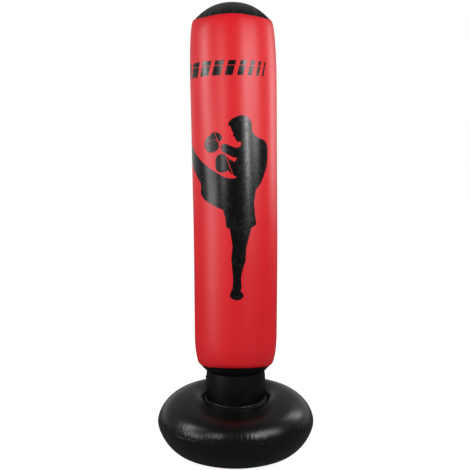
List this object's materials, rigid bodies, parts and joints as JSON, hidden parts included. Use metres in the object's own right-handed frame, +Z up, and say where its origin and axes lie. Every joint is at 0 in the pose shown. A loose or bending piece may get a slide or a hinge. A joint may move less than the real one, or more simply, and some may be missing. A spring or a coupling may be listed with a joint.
{
  "type": "free standing bag",
  "caption": "Inflatable free-standing punch bag: tall padded-air column on a flexible neck over a water-filled ring base, with screw and push-in valves.",
  "frame": {"origin": "on the floor, at the centre of the ring base", "axes": "+Z up along the column, -Y the printed front, +Y the back with the valves"},
  "size_m": [0.566, 0.566, 1.6],
  "materials": {
    "red_vinyl": "satin, with a fine embossed grain",
    "black_vinyl": "semi-gloss",
    "moulded_vinyl": "moulded satin",
    "soft_rubber": "matte",
    "water": "clear"
  },
  "bodies": {
    "base": {"base_top_sheet": "black_vinyl", "base_floor_sheet": "black_vinyl", "base_core_sleeve": "black_vinyl", "water_ballast": "water", "filler_seat": "moulded_vinyl", "base_valve_seat": "moulded_vinyl"},
    "neck": {"neck_sleeve": "black_vinyl"},
    "column": {"column_wall": "red_vinyl", "top_dome": "black_vinyl", "bottom_dish": "black_vinyl", "column_valve_seat": "moulded_vinyl"},
    "column_valve_washer": {"column_valve_gasket": "soft_rubber"},
    "column_valve_screw_cap": {"column_valve_cap": "moulded_vinyl"},
    "column_valve_flip_lid": {"column_valve_lid": "moulded_vinyl"},
    "column_valve_leaf": {"column_valve_diaphragm": "soft_rubber"},
    "filler_washer": {"filler_gasket": "soft_rubber"},
    "filler_screw_cap": {"filler_cap": "moulded_vinyl"},
    "base_valve_push_stem": {"base_valve_stem": "moulded_vinyl"},
    "base_valve_stopper": {"base_valve_plug": "moulded_vinyl"},
    "base_valve_inner_flap": {"base_valve_flap": "soft_rubber"}
  },
  "joints": [
    {"name": "neck_fore_aft", "type": "hinge", "parent": "base", "child": "neck", "pos_m": [0, 0, 0.2265], "axis": [1, 0, 0], "range_deg": [-12, 12], "stiffness_Nm_per_rad": 40, "deforming": ["neck_sleeve"]},
    {"name": "neck_side_to_side", "type": "hinge", "parent": "neck", "child": "column", "pos_m": [0, 0, 0.2705], "axis": [0, 1, 0], "range_deg": [-12, 12], "stiffness_Nm_per_rad": 40, "deforming": ["neck_sleeve"]},
    {"name": "column_valve_cap_lift", "type": "slide", "parent": "column", "child": "column_valve_washer", "axis": [0, 1, 0], "range_m": [0, 0.006]},
    {"name": "column_valve_cap_turn", "type": "hinge", "parent": "column_valve_washer", "child": "column_valve_screw_cap", "pos_m": [0, 0.14895, 0.52], "axis": [0, 1, 0], "range_deg": [0, 720]},
    {"name": "column_valve_lid_flip", "type": "hinge", "parent": "column_valve_screw_cap", "child": "column_valve_flip_lid", "pos_m": [0, 0.16345, 0.5345], "axis": [1, 0, 0], "range_deg": [0, 105]},
    {"name": "column_valve_leaf_lift", "type": "slide", "parent": "column_valve_screw_cap", "child": "column_valve_leaf", "axis": [0, -1, 0], "range_m": [0, 0.0014], "stiffness_N_per_m": 20},
    {"name": "filler_cap_lift", "type": "slide", "parent": "base", "child": "filler_washer", "axis": [-0.1939, 0.3646, 0.9108], "range_m": [0, 0.006]},
    {"name": "filler_cap_turn", "type": "hinge", "parent": "filler_washer", "child": "filler_screw_cap", "pos_m": [-0.09628, 0.18109, 0.21273], "axis": [-0.1939, 0.3646, 0.9108], "range_deg": [0, 720]},
    {"name": "base_valve_stem_pull", "type": "slide", "parent": "base", "child": "base_valve_push_stem", "axis": [0.1939, 0.3646, 0.9108], "range_m": [0, 0.01]},
    {"name": "base_valve_stopper_flip", "type": "hinge", "parent": "base_valve_push_stem", "child": "base_valve_stopper", "pos_m": [0.09286, 0.17464, 0.22181], "axis": [0.8829, -0.4695, 0], "range_deg": [0, 105]},
    {"name": "base_valve_flap_swing", "type": "hinge", "parent": "base_valve_push_stem", "child": "base_valve_inner_flap", "pos_m": [0.09122, 0.17156, 0.20154], "axis": [-0.8829, 0.4695, 0], "range_deg": [0, 60], "stiffness_Nm_per_rad": 0.0001}
  ],
  "couplings": [
    {"joint": "column_valve_cap_lift", "follows": "column_valve_cap_turn", "m_per_rad": 0.00047746},
    {"joint": "filler_cap_lift", "follows": "filler_cap_turn", "m_per_rad": 0.00047746}
  ]
}
